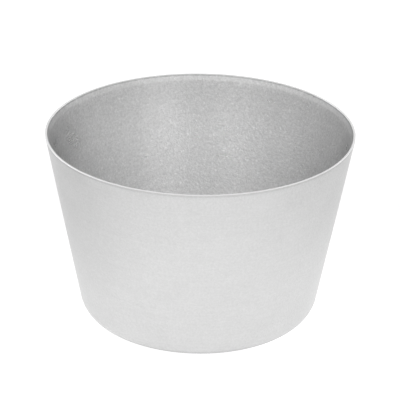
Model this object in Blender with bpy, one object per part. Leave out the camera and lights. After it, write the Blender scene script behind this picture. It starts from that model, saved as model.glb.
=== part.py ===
"""Candle melting pot: a seamless tapered pot, drawn from one aluminium sheet and open at the top.

Metres, +Z up. The origin is the centre of the underside, so the pot stands on the plane z = 0.
"""

import math

import bmesh
import bpy

RIM_RADIUS = 0.0650  # outside of the rim, before its edge is rounded
HEIGHT = 0.0823
FOOT_RADIUS = 0.0495  # where the wall's outer line, carried on down, meets the ground
CORNER_ROUND = 0.0099  # outside radius of the bend between wall and base
SHEET = 0.0012  # thickness of the wall and of the base
RIM_LAND = 0.00095  # thickness of the wall at the very top, where the inside is dressed back
LIP_DEPTH = 0.0028  # how far down the inside that dressing reaches
EDGE_ROUND = 0.00025  # both edges of the rim

TURN_STEPS = 96
CORNER_STEPS = 8
EDGE_STEPS = 3
MERGE_DISTANCE = 0.00001

LEAN = math.atan((RIM_RADIUS - FOOT_RADIUS) / HEIGHT)  # the wall's angle from the vertical


def arc(centre_r, centre_z, radius, first_angle, last_angle, steps):
    """Points (r, z) of a round stretch of the profile, both ends included."""
    points = []
    for step in range(steps + 1):
        angle = first_angle + (last_angle - first_angle) * step / steps
        points.append((centre_r + radius * math.cos(angle), centre_z + radius * math.sin(angle)))
    return points


def wall_radius(z, inset=0.0):
    """Radius at height z of the wall's outer face, or of a face that lies inset inside it."""
    return FOOT_RADIUS + z * math.tan(LEAN) - inset / math.cos(LEAN)


def corner_arc(radius):
    """The bend from the base to the wall. The inside and the outside share one centre."""
    turn = math.pi / 2 - LEAN
    centre_r = FOOT_RADIUS - CORNER_ROUND * math.tan(turn / 2)
    return arc(centre_r, CORNER_ROUND, radius, -math.pi / 2, -LEAN, CORNER_STEPS)


def edge_arc(corner, before, after):
    """A small round of EDGE_ROUND in place of a corner of the profile, on the way from before to after."""
    to_before = math.atan2(before[1] - corner[1], before[0] - corner[0])
    to_after = math.atan2(after[1] - corner[1], after[0] - corner[0])
    half = math.remainder(to_after - to_before, math.tau) / 2
    reach = EDGE_ROUND / math.sin(abs(half))
    middle = to_before + half
    centre_r = corner[0] + reach * math.cos(middle)
    centre_z = corner[1] + reach * math.sin(middle)
    swing = math.copysign(math.pi / 2 - abs(half), half)
    return arc(centre_r, centre_z, EDGE_ROUND, middle + math.pi + swing, middle + math.pi - swing, EDGE_STEPS)


def pot_profile():
    """The closed section: out over the floor, up the inside, over the rim and down the outside."""
    inside_bend = corner_arc(CORNER_ROUND - SHEET)
    outside_bend = corner_arc(CORNER_ROUND)
    lip_start = (wall_radius(HEIGHT - LIP_DEPTH, SHEET), HEIGHT - LIP_DEPTH)
    inner_edge = (RIM_RADIUS - RIM_LAND, HEIGHT)
    outer_edge = (RIM_RADIUS, HEIGHT)
    profile = [(0.0, SHEET)]
    profile += inside_bend
    profile.append(lip_start)
    profile += edge_arc(inner_edge, lip_start, outer_edge)
    profile += edge_arc(outer_edge, inner_edge, outside_bend[-1])
    profile += reversed(outside_bend)
    profile.append((0.0, 0.0))
    return profile


def bare_aluminium():
    material = bpy.data.materials.new("bare_aluminium")
    material.use_nodes = True
    shader = material.node_tree.nodes["Principled BSDF"]
    shader.inputs["Base Color"].default_value = (0.76, 0.76, 0.76, 1.0)
    shader.inputs["Metallic"].default_value = 1.0
    shader.inputs["Roughness"].default_value = 0.45
    material.diffuse_color = (0.76, 0.76, 0.76, 1.0)
    return material


def turned_pot(name, profile, material):
    """The profile swept once round the Z axis."""
    shape = bmesh.new()
    ring = [shape.verts.new((r, 0.0, z)) for r, z in profile]
    for start, end in zip(ring, ring[1:]):
        shape.edges.new((start, end))
    bmesh.ops.spin(
        shape,
        geom=shape.verts[:] + shape.edges[:],
        cent=(0.0, 0.0, 0.0),
        axis=(0.0, 0.0, 1.0),
        angle=math.tau,
        steps=TURN_STEPS,
        use_merge=True,
    )
    bmesh.ops.remove_doubles(shape, verts=shape.verts[:], dist=MERGE_DISTANCE)
    bmesh.ops.recalc_face_normals(shape, faces=shape.faces[:])
    mesh = bpy.data.meshes.new(name)
    shape.to_mesh(mesh)
    shape.free()
    mesh.materials.append(material)
    mesh.shade_smooth()
    mesh.set_sharp_from_angle(angle=math.radians(35))
    pot = bpy.data.objects.new(name, mesh)
    bpy.context.scene.collection.objects.link(pot)
    return pot


def main():
    for old in list(bpy.data.objects):
        bpy.data.objects.remove(old)
    turned_pot("melting_pot", pot_profile(), bare_aluminium())


main()
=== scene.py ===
import math

import bmesh
import bpy
from mathutils import Matrix, Vector, noise


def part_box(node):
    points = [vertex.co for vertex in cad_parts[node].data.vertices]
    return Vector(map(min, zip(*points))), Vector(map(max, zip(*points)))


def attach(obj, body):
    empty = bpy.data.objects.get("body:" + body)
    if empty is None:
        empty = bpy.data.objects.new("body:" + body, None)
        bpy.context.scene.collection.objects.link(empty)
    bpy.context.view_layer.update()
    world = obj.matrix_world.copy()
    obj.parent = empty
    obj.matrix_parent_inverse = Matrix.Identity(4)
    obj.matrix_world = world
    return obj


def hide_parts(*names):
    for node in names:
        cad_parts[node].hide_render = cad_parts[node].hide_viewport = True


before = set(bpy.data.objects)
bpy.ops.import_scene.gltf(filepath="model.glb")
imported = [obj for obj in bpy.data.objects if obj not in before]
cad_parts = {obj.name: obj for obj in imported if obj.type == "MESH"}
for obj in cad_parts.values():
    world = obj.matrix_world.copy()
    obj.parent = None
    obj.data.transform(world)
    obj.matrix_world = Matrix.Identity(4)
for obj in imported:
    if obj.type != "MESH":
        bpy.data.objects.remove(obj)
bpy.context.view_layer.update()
potLow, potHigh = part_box("melting_pot")
rimHeight = potHigh[2]
print("frame loaded, pot", [round(1000 * (b - a), 2) for a, b in zip(potLow, potHigh)], "mm")

potShape = {
    "footRadius": 0.0495,  # where the wall's outer line, carried on down, meets the ground
    "rimRadius": 0.0650,  # the same line at rim height, before the edge is rounded
    "cornerRound": 0.0099,  # outer radius of the bend between wall and base
    "sheet": 0.0012,
    "rimLand": 0.00095,  # wall thickness left at the very top
    "lipDepth": 0.0028,  # how far down the inside the rim was dressed back
    "edgeRound": 0.00025,
    "turnSteps": 288,
    "ringStep": 0.0020,  # longest stretch of profile between two rings
    "lipStep": 0.0005,  # the same on the dressed band, where the shade changes fast
    "bendSteps": 18,
    "edgeSteps": 5,
    "waver": 0.00007,  # how far the drawn wall wanders from a true cone
    "waverSpan": 0.030,
    "waverRadius": 0.057,  # about the wall's mean radius, where the wander is read
    "waverFromBase": 0.012,  # it grows to full over this height
    "waverFromRim": 0.006,  # and is gone again over this depth
}
finishes = ("grainyInside", "cutRim", "satinOutside", "scuffedBase")


def arcPoints(centre, radius, first, last, steps):
    points = []
    for step in range(steps + 1):
        angle = first + (last - first) * step / steps
        points.append((centre[0] + radius * math.cos(angle), centre[1] + radius * math.sin(angle)))
    return points


def straightPoints(start, end, longest):
    steps = max(1, math.ceil(math.dist(start, end) / longest))
    return [tuple(a + (b - a) * step / steps for a, b in zip(start, end)) for step in range(steps + 1)]


def roundedCorner(corner, before, after, radius, steps):
    toBefore = math.atan2(before[1] - corner[1], before[0] - corner[0])
    toAfter = math.atan2(after[1] - corner[1], after[0] - corner[0])
    half = math.remainder(toAfter - toBefore, math.tau) / 2
    middle = toBefore + half
    reach = radius / math.sin(abs(half))
    centre = (corner[0] + reach * math.cos(middle), corner[1] + reach * math.sin(middle))
    swing = math.copysign(math.pi / 2 - abs(half), half)
    return arcPoints(centre, radius, middle + math.pi + swing, middle + math.pi - swing, steps)


def potProfile(shape):
    # stretches of (finish, points), from the middle of the floor, up the inside, over the rim
    # and down the outside to the middle of the base
    lean = math.atan((shape["rimRadius"] - shape["footRadius"]) / rimHeight)
    bendRadius = shape["cornerRound"]
    bendCentre = (shape["footRadius"] - bendRadius * math.tan((math.pi / 2 - lean) / 2), bendRadius)
    sheet = shape["sheet"]
    insideBend = arcPoints(bendCentre, bendRadius - sheet, -math.pi / 2, -lean, shape["bendSteps"])
    outsideBend = arcPoints(bendCentre, bendRadius, -lean, -math.pi / 2, shape["bendSteps"])
    lipHeight = rimHeight - shape["lipDepth"]
    lipRadius = shape["footRadius"] + lipHeight * math.tan(lean) - sheet / math.cos(lean)
    lip = (lipRadius, lipHeight)
    innerEdge = (shape["rimRadius"] - shape["rimLand"], rimHeight)
    outerEdge = (shape["rimRadius"], rimHeight)
    innerRound = roundedCorner(innerEdge, lip, outerEdge, shape["edgeRound"], shape["edgeSteps"])
    outerRound = roundedCorner(outerEdge, innerEdge, outsideBend[0], shape["edgeRound"], shape["edgeSteps"])
    step = shape["ringStep"]
    return [
        ("grainyInside", straightPoints((0.0, sheet), insideBend[0], step)),
        ("grainyInside", insideBend),
        ("grainyInside", straightPoints(insideBend[-1], lip, step)),
        ("grainyInside", straightPoints(lip, innerRound[0], shape["lipStep"])),
        ("cutRim", innerRound),
        ("cutRim", [innerRound[-1], outerRound[0]]),
        ("cutRim", outerRound),
        ("satinOutside", straightPoints(outerRound[-1], outsideBend[0], step)),
        ("satinOutside", outsideBend),
        ("scuffedBase", straightPoints(outsideBend[-1], (0.0, 0.0), step)),
    ]


def wallShift(angle, height, shape):
    # both faces of the sheet shift together, always inwards, and neither at the base nor at the rim
    around = Vector((math.cos(angle), math.sin(angle), 0.0)) * shape["waverRadius"]
    place = around + Vector((0.0, 0.0, height))
    wander = 0.5 + 0.5 * noise.noise(place / shape["waverSpan"])
    fade = min(1.0, height / shape["waverFromBase"]) * min(1.0, (rimHeight - height) / shape["waverFromRim"])
    return -shape["waver"] * wander * fade


def turnedSheet(name, shape, materials):
    rings, ringFinish = [], []
    for finish, points in potProfile(shape):
        for point in points[1 if rings else 0:]:  # a stretch starts on the last point of the one before
            rings.append(point)
            ringFinish.append(finishes.index(finish))
    shell = bmesh.new()
    steps = shape["turnSteps"]
    rows = []
    for radius, height in rings:
        if radius == 0.0:
            rows.append([shell.verts.new((0.0, 0.0, height))])
            continue
        row = []
        for step in range(steps):
            angle = math.tau * step / steps
            reach = radius + wallShift(angle, height, shape)
            row.append(shell.verts.new((reach * math.cos(angle), reach * math.sin(angle), height)))
        rows.append(row)
    for row, nextRow, finish in zip(rows, rows[1:], ringFinish[1:]):
        for step in range(steps):
            corners = [row[step % len(row)], row[(step + 1) % len(row)]]
            corners += [nextRow[(step + 1) % len(nextRow)], nextRow[step % len(nextRow)]]
            face = shell.faces.new(list(dict.fromkeys(corners)))  # a triangle at the middle
            face.material_index = finish
            face.smooth = True
    bmesh.ops.recalc_face_normals(shell, faces=shell.faces[:])
    mesh = bpy.data.meshes.new(name)
    shell.to_mesh(mesh)
    shell.free()
    for material in materials:
        mesh.materials.append(material)
    piece = bpy.data.objects.new(name, mesh)
    bpy.context.scene.collection.objects.link(piece)
    return piece


def addNode(tree, kind, settings=None, **inputs):
    # an input goes by its label, or by its number as i0, i1 and so on, and takes a value or a socket
    node = tree.nodes.new("ShaderNode" + kind)
    for key, value in (settings or {}).items():
        setattr(node, key, value)
    for key, value in inputs.items():
        socket = node.inputs[int(key[1:])] if key[0] == "i" and key[1:].isdigit() else node.inputs[key]
        if isinstance(value, bpy.types.NodeSocket):
            tree.links.new(value, socket)
        else:
            socket.default_value = value
    return node


def maths(tree, operation, *values, clamp=False):
    inputs = {f"i{at}": value for at, value in enumerate(values)}
    return addNode(tree, "Math", {"operation": operation, "use_clamp": clamp}, **inputs).outputs[0]


def remap(tree, value, fromLow, fromHigh, toLow=0.0, toHigh=1.0, smooth=False):
    settings = {"interpolation_type": "SMOOTHSTEP" if smooth else "LINEAR"}
    node = addNode(tree, "MapRange", settings, i0=value, i1=fromLow, i2=fromHigh, i3=toLow, i4=toHigh)
    return node.outputs[0]


def scaledPlace(tree, place, across, along):
    # the place squeezed across the pot and stretched along the profile, so that noise runs round it in lines
    parts = addNode(tree, "SeparateXYZ", i0=place)
    squares = [maths(tree, "POWER", parts.outputs[axis], 2.0) for axis in (0, 1)]
    radius = maths(tree, "SQRT", maths(tree, "ADD", *squares))
    flat = [maths(tree, "MULTIPLY", parts.outputs[axis], across) for axis in (0, 1)]
    profile = maths(tree, "ADD", parts.outputs[2], radius)
    stretched = maths(tree, "MULTIPLY", profile, along)
    return addNode(tree, "CombineXYZ", i0=flat[0], i1=flat[1], i2=stretched).outputs[0]


def newGroup(name, inputs, outputs):
    group = bpy.data.node_groups.new(name, "ShaderNodeTree")
    for label, value in inputs.items():
        socket = group.interface.new_socket(label, in_out="INPUT", socket_type="NodeSocketFloat")
        socket.default_value = value
    for label in outputs:
        group.interface.new_socket(label, in_out="OUTPUT", socket_type="NodeSocketFloat")
    given = group.nodes.new("NodeGroupInput")
    result = group.nodes.new("NodeGroupOutput")
    return group, given.outputs, result.inputs


grainMix = {
    "fineTimes": 2.3,  # how much finer the fine grain is than the coarse
    "coarse": 0.65,
    "fine": 0.35,
    "dark": 0.32,  # noise at which the shade is 0
    "light": 0.68,  # and at which it is 1
    "glintFrom": 0.60,
    "glintTo": 0.70,
}


def grainGroup(mix):
    inputs = {"Grains per metre": 1600.0, "Sparkle": 0.3}
    group, given, result = newGroup("sheetGrain", inputs, ["Shade", "Height"])
    place = addNode(group, "TexCoord").outputs["Object"]
    coarse = addNode(group, "TexNoise", Vector=place, Scale=given[0], Detail=2.0, Roughness=0.6).outputs[0]
    fineScale = maths(group, "MULTIPLY", given[0], mix["fineTimes"])
    fine = addNode(group, "TexNoise", Vector=place, Scale=fineScale, Detail=1.0, Roughness=0.5).outputs[0]
    coarsePart = maths(group, "MULTIPLY", coarse, mix["coarse"])
    both = maths(group, "ADD", coarsePart, maths(group, "MULTIPLY", fine, mix["fine"]))
    shade = remap(group, both, mix["dark"], mix["light"])
    glint = maths(group, "MULTIPLY", remap(group, both, mix["glintFrom"], mix["glintTo"]), given[1])
    group.links.new(maths(group, "ADD", shade, glint), result["Shade"])
    group.links.new(shade, result["Height"])
    return group


noiseSpread = (0.3, 0.7)  # the part of the noise that streaks and patches spread over 0 to 1


def lineGroup():
    group, given, result = newGroup("turnedLines", {"Lines per metre": 900.0, "Reach": 30.0}, ["Shade"])
    place = addNode(group, "TexCoord").outputs["Object"]
    squeezed = scaledPlace(group, place, given[1], given[0])
    streaks = addNode(group, "TexNoise", Vector=squeezed, Scale=1.0, Detail=3.0, Roughness=0.65).outputs[0]
    group.links.new(remap(group, streaks, *noiseSpread), result["Shade"])
    return group


def mottleGroup():
    group, given, result = newGroup("softMottle", {"Patches per metre": 70.0}, ["Shade"])
    place = addNode(group, "TexCoord").outputs["Object"]
    cloud = addNode(group, "TexNoise", Vector=place, Scale=given[0], Detail=3.0, Roughness=0.55).outputs[0]
    group.links.new(remap(group, cloud, *noiseSpread), result["Shade"])
    return group


dotEdge = (0.05, 0.03)  # a speck's outer and inner edge, in cells


def speckGroup():
    group, given, result = newGroup("darkSpecks", {"Specks per metre": 110.0, "Share": 0.05}, ["Mask"])
    place = addNode(group, "TexCoord").outputs["Object"]
    cells = addNode(group, "TexVoronoi", Vector=place, Scale=given[0])
    chance = addNode(group, "SeparateColor", i0=cells.outputs["Color"]).outputs[0]
    chosen = maths(group, "LESS_THAN", chance, given[1])
    dot = remap(group, cells.outputs["Distance"], *dotEdge, smooth=True)
    group.links.new(maths(group, "MULTIPLY", chosen, dot), result["Mask"])
    return group


def bandGroup():
    # 1 above a height and 0 below it, with a soft and uneven border
    inputs = {"Height": 0.08, "Softness": 0.001, "Unevenness": 0.0004}
    group, given, result = newGroup("heightBand", inputs, ["Mask"])
    place = addNode(group, "TexCoord").outputs["Object"]
    height = addNode(group, "SeparateXYZ", i0=place).outputs[2]
    ripple = addNode(group, "TexNoise", Vector=place, Scale=90.0, Detail=2.0).outputs[0]
    uneven = maths(group, "MULTIPLY", maths(group, "SUBTRACT", ripple, 0.5), given[2])
    above = maths(group, "SUBTRACT", maths(group, "ADD", height, uneven), given[0])
    border = maths(group, "DIVIDE", above, given[1])
    group.links.new(remap(group, border, -0.5, 0.5, smooth=True), result["Mask"])
    return group


effects = {
    "grain": grainGroup(grainMix),
    "lines": lineGroup(),
    "mottle": mottleGroup(),
    "specks": speckGroup(),
    "band": bandGroup(),
}


def effect(tree, name, **values):
    node = addNode(tree, "Group", {"node_tree": effects[name]})
    for label, value in values.items():
        node.inputs[label.replace("_", " ")].default_value = value
    return node


def grainOf(tree, finish):
    return effect(tree, "grain", Grains_per_metre=finish["grainsPerMetre"], Sparkle=finish["sparkle"])


def linesOf(tree, finish):
    node = effect(tree, "lines", Lines_per_metre=finish["linesPerMetre"], Reach=finish["lineReach"])
    return node.outputs[0]


def mottleOf(tree, finish):
    return effect(tree, "mottle", Patches_per_metre=finish["patchesPerMetre"]).outputs[0]


def bandAbove(tree, height, softness):
    return effect(tree, "band", Height=height, Softness=softness).outputs[0]


def weighted(tree, start, *terms):
    # start, plus each shade taken about its middle value of 0.5 and times its weight
    total = start
    for shade, weight in terms:
        swing = maths(tree, "MULTIPLY", maths(tree, "SUBTRACT", shade, 0.5), weight)
        total = maths(tree, "ADD", total, swing)
    return total


def darker(tree, grey, mask, shade, clamp=False):
    return maths(tree, "SUBTRACT", grey, maths(tree, "MULTIPLY", mask, shade), clamp=clamp)


def greyColour(tree, value):
    return addNode(tree, "CombineColor", i0=value, i1=value, i2=value).outputs[0]


def newMetal(name):
    material = bpy.data.materials.new(name)
    material.use_nodes = True
    shader = material.node_tree.nodes["Principled BSDF"]
    shader.inputs["Metallic"].default_value = 1.0
    return material, material.node_tree, shader


def joinMetal(tree, shader, grey, rough, height, bumpDistance):
    tree.links.new(greyColour(tree, grey), shader.inputs["Base Color"])
    tree.links.new(rough, shader.inputs["Roughness"])
    bump = addNode(tree, "Bump", Strength=1.0, Distance=bumpDistance, Height=height)
    tree.links.new(bump.outputs[0], shader.inputs["Normal"])


insideFinish = {
    "grey": 0.740,
    "grainsPerMetre": 950.0,
    "sparkle": 0.5,
    "grainShade": 0.20,
    "linesPerMetre": 700.0,
    "lineReach": 45.0,
    "lineShade": 0.04,
    "patchesPerMetre": 60.0,
    "mottleShade": 0.04,
    "lipPaintedHighlight": 0.07,  # painted highlight: the dressed band under the rim is made paler
    "lipHighlightSoftness": 0.0008,
    "edgeDepth": 0.0008,  # a thin ring of painted shade just under the rim
    "edgeShade": 0.21,
    "edgeSoftness": 0.0003,
    "roughness": 0.32,
    "mottleRoughness": 0.10,
    "lineRoughness": 0.05,
    "bump": 0.00008,
    "grainRelief": 0.8,
    "lineRelief": 0.06,
}


def grainyInside(finish):
    material, tree, shader = newMetal("grainyInside")
    grain = grainOf(tree, finish)
    lines = linesOf(tree, finish)
    mottle = mottleOf(tree, finish)
    paintedHighlightBand = bandAbove(tree, rimHeight - potShape["lipDepth"], finish["lipHighlightSoftness"])
    edgeBand = bandAbove(tree, rimHeight - finish["edgeDepth"], finish["edgeSoftness"])
    grey = weighted(tree, finish["grey"], (grain.outputs["Shade"], finish["grainShade"]),
                    (lines, finish["lineShade"]), (mottle, finish["mottleShade"]))
    # painted highlight on the dressed band under the rim
    grey = maths(tree, "ADD", grey, maths(tree, "MULTIPLY", paintedHighlightBand, finish["lipPaintedHighlight"]))
    # painted shade: a thin darker ring just under the rim
    grey = darker(tree, grey, edgeBand, finish["edgeShade"], clamp=True)
    rough = weighted(tree, finish["roughness"], (mottle, finish["mottleRoughness"]),
                     (lines, finish["lineRoughness"]))
    height = weighted(tree, 0.5, (grain.outputs["Height"], finish["grainRelief"]),
                      (lines, finish["lineRelief"]))
    joinMetal(tree, shader, grey, rough, height, finish["bump"])
    return material


outsideFinish = {
    "grey": 0.612,
    "grainsPerMetre": 1050.0,
    "sparkle": 0.1,
    "grainShade": 0.07,
    "linesPerMetre": 900.0,
    "lineReach": 35.0,
    "lineShade": 0.02,
    "patchesPerMetre": 75.0,
    "mottleShade": 0.04,
    "specksPerMetre": 110.0,
    "speckShare": 0.05,  # how many of those places hold a speck
    "speckShade": 0.35,
    "edgeDepth": 0.0011,  # a faint darker line just under the rim
    "edgeShade": 0.065,
    "edgeSoftness": 0.0004,
    "footShadeHeight": 0.0032,  # painted shade on the foot of the bend, below this height
    "paintedFootShade": 0.11,
    "footShadeSoftness": 0.0024,
    "roughness": 0.45,
    "mottleRoughness": 0.08,
    "bump": 0.00008,
    "grainRelief": 0.7,
    "lineRelief": 0.06,
}


def satinOutside(finish):
    material, tree, shader = newMetal("satinOutside")
    grain = grainOf(tree, finish)
    lines = linesOf(tree, finish)
    mottle = mottleOf(tree, finish)
    specks = effect(tree, "specks", Specks_per_metre=finish["specksPerMetre"], Share=finish["speckShare"])
    edgeBand = bandAbove(tree, rimHeight - finish["edgeDepth"], finish["edgeSoftness"])
    wallBand = bandAbove(tree, finish["footShadeHeight"], finish["footShadeSoftness"])
    paintedShadeMask = maths(tree, "SUBTRACT", 1.0, wallBand)
    grey = weighted(tree, finish["grey"], (grain.outputs["Shade"], finish["grainShade"]),
                    (lines, finish["lineShade"]), (mottle, finish["mottleShade"]))
    grey = darker(tree, grey, specks.outputs[0], finish["speckShade"])
    grey = darker(tree, grey, edgeBand, finish["edgeShade"])
    # painted shade: the foot of the bend is made darker
    grey = darker(tree, grey, paintedShadeMask, finish["paintedFootShade"], clamp=True)
    rough = weighted(tree, finish["roughness"], (mottle, finish["mottleRoughness"]))
    height = weighted(tree, 0.5, (grain.outputs["Height"], finish["grainRelief"]),
                      (lines, finish["lineRelief"]))
    joinMetal(tree, shader, grey, rough, height, finish["bump"])
    return material


rimFinish = {
    "grey": 0.69,
    "grainsPerMetre": 2500.0,
    "sparkle": 0.0,
    "grainShade": 0.05,
    "linesPerMetre": 6000.0,
    "lineReach": 60.0,
    "lineShade": 0.08,
    "roughness": 0.42,
    "lineRoughness": 0.10,
    "bump": 0.00001,
}


def cutRim(finish):
    material, tree, shader = newMetal("cutRim")
    lines = linesOf(tree, finish)
    grain = grainOf(tree, finish)
    grey = weighted(tree, finish["grey"], (lines, finish["lineShade"]),
                    (grain.outputs["Shade"], finish["grainShade"]))
    rough = weighted(tree, finish["roughness"], (lines, finish["lineRoughness"]))
    joinMetal(tree, shader, grey, rough, lines, finish["bump"])
    return material


baseFinish = {
    "grey": 0.76,
    "grainsPerMetre": 1900.0,
    "sparkle": 0.2,
    "grainShade": 0.06,
    "linesPerMetre": 1400.0,
    "lineReach": 12.0,
    "lineShade": 0.10,
    "patchesPerMetre": 60.0,
    "mottleShade": 0.08,
    "roughness": 0.44,
    "mottleRoughness": 0.15,
    "lineRoughness": 0.10,
    "bump": 0.00003,
    "lineRelief": 0.8,
    "grainRelief": 0.3,
}


def scuffedBase(finish):
    material, tree, shader = newMetal("scuffedBase")
    grain = grainOf(tree, finish)
    lines = linesOf(tree, finish)
    mottle = mottleOf(tree, finish)
    grey = weighted(tree, finish["grey"], (grain.outputs["Shade"], finish["grainShade"]),
                    (lines, finish["lineShade"]), (mottle, finish["mottleShade"]))
    rough = weighted(tree, finish["roughness"], (mottle, finish["mottleRoughness"]),
                     (lines, finish["lineRoughness"]))
    height = weighted(tree, 0.5, (lines, finish["lineRelief"]),
                      (grain.outputs["Height"], finish["grainRelief"]))
    joinMetal(tree, shader, grey, rough, height, finish["bump"])
    return material


metals = [  # in the order of finishes
    grainyInside(insideFinish),
    cutRim(rimFinish),
    satinOutside(outsideFinish),
    scuffedBase(baseFinish),
]
pot = turnedSheet("pot", potShape, metals)
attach(pot, "root")
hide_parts("melting_pot")
print("pot turned,", len(pot.data.polygons), "faces")

floorLook = {
    "size": 6.0,
    "segments": 8,
    "grey": 0.35,
    "roughness": 0.9,
    "specular": 0.1,
    "glow": 0.540,  # the floor is lit from within, like a light table
    "pools": (  # painted pools of light and shade: softly bordered places where that glow is stronger or weaker
        {"place": (0.0, -0.05, 0.0), "reach": 0.13, "glow": 0.36},
        {"place": (-0.14, 0.0, 0.0), "reach": 0.08, "glow": -0.10},
        {"place": (0.0, 0.42, 0.0), "reach": 0.26, "glow": 0.30},
    ),
    "poolBorder": 0.5,  # share of the reach over which a pool fades, to either side
    "drop": 0.0002,  # gap under the pot
}


def floorGlow(tree, look):
    place = addNode(tree, "TexCoord").outputs["Object"]
    glow = look["glow"]
    # painted pools of light and shade, added to the floor's glow
    for pool in look["pools"]:
        away = addNode(tree, "VectorMath", {"operation": "DISTANCE"}, i0=place, i1=pool["place"])
        full = pool["reach"] * (1 - look["poolBorder"])
        none = pool["reach"] * (1 + look["poolBorder"])
        share = remap(tree, away.outputs["Value"], full, none, pool["glow"], 0.0, smooth=True)
        glow = maths(tree, "ADD", glow, share)
    return glow


def paleFloor(look):
    sheet = bmesh.new()
    segments = look["segments"]
    bmesh.ops.create_grid(sheet, x_segments=segments, y_segments=segments, size=look["size"] / 2)
    mesh = bpy.data.meshes.new("paleFloor")
    sheet.to_mesh(mesh)
    sheet.free()
    material = bpy.data.materials.new("paleFloor")
    material.use_nodes = True
    tree = material.node_tree
    shader = tree.nodes["Principled BSDF"]
    shader.inputs["Base Color"].default_value = (look["grey"],) * 3 + (1.0,)
    shader.inputs["Roughness"].default_value = look["roughness"]
    shader.inputs["Specular IOR Level"].default_value = look["specular"]
    shader.inputs["Emission Strength"].default_value = 1.0
    tree.links.new(greyColour(tree, floorGlow(tree, look)), shader.inputs["Emission Color"])
    mesh.materials.append(material)
    floor = bpy.data.objects.new("paleFloor", mesh)
    floor.location.z = potLow[2] - look["drop"]
    bpy.context.scene.collection.objects.link(floor)


paleFloor(floorLook)

cameraView = {
    "place": (0.0, -0.8559, 0.4482),
    "aim": (0.0002, 0.0, 0.0502),
    "lens": 200.0,
    "sensor": 36.0,
    "roll": 0.683,  # degrees, about the camera's own line of sight
    "nearest": 0.05,
}


def addCamera(view):
    camera = bpy.data.cameras.new("camera")
    camera.lens = view["lens"]
    camera.sensor_width = view["sensor"]
    camera.clip_start = view["nearest"]
    seat = bpy.data.objects.new("camera", camera)
    look = (Vector(view["aim"]) - Vector(view["place"])).to_track_quat("-Z", "Y").to_matrix().to_4x4()
    roll = Matrix.Rotation(math.radians(view["roll"]), 4, "Z")
    seat.matrix_world = Matrix.Translation(view["place"]) @ look @ roll
    bpy.context.scene.collection.objects.link(seat)
    bpy.context.scene.camera = seat


addCamera(cameraView)

studio = {
    "tent": (  # degrees up, light
        (0.0, 0.87),
        (2.2, 0.87),
        (4.5, 0.42),
        (11.0, 0.46),
        (19.4, 1.15),
        (90.0, 1.15),
    ),
    "panels": (  # way to the middle, degrees from there to the border, light on top of the tent
        {"toward": (-0.741, 0.500, 0.448), "spread": 12.9, "light": 2.73},
        {"toward": (0.659, 0.629, 0.413), "spread": 12.7, "light": 1.61},
    ),
    "panelBorder": 0.35,  # share of the spread over which a panel fades, to either side
}


def panelLight(tree, way, panel, border):
    toward = Vector(panel["toward"]).normalized()
    facing = addNode(tree, "VectorMath", {"operation": "DOT_PRODUCT"}, i0=way, i1=toward).outputs["Value"]
    spread = math.radians(panel["spread"])
    none = math.cos(spread * (1 + border))
    full = math.cos(spread * (1 - border))
    return remap(tree, facing, none, full, 0.0, panel["light"], smooth=True)


def softTent(look):
    world = bpy.data.worlds.new("softTent")
    bpy.context.scene.world = world
    world.use_nodes = True
    tree = world.node_tree
    tree.nodes.clear()
    way = addNode(tree, "TexCoord").outputs["Generated"]
    upward = addNode(tree, "SeparateXYZ", i0=way).outputs[2]
    rise = maths(tree, "DIVIDE", maths(tree, "ARCSINE", upward), math.pi / 2)
    wall = addNode(tree, "ValToRGB", i0=rise)
    stops = wall.color_ramp.elements
    for at, (degrees, share) in enumerate(look["tent"]):
        stop = stops[at] if at < 2 else stops.new(1.0)  # a new ramp has two stops already
        stop.position = degrees / 90
        stop.color = (share, share, share, 1.0)
    total = wall.outputs[0]
    for panel in look["panels"]:
        total = maths(tree, "ADD", total, panelLight(tree, way, panel, look["panelBorder"]))
    light = addNode(tree, "Background", Color=(1.0, 1.0, 1.0, 1.0), Strength=total)
    out = addNode(tree, "OutputWorld")
    tree.links.new(light.outputs[0], out.inputs["Surface"])


softTent(studio)
bpy.context.scene.view_settings.view_transform = "Standard"
print("floor, camera and light in place")
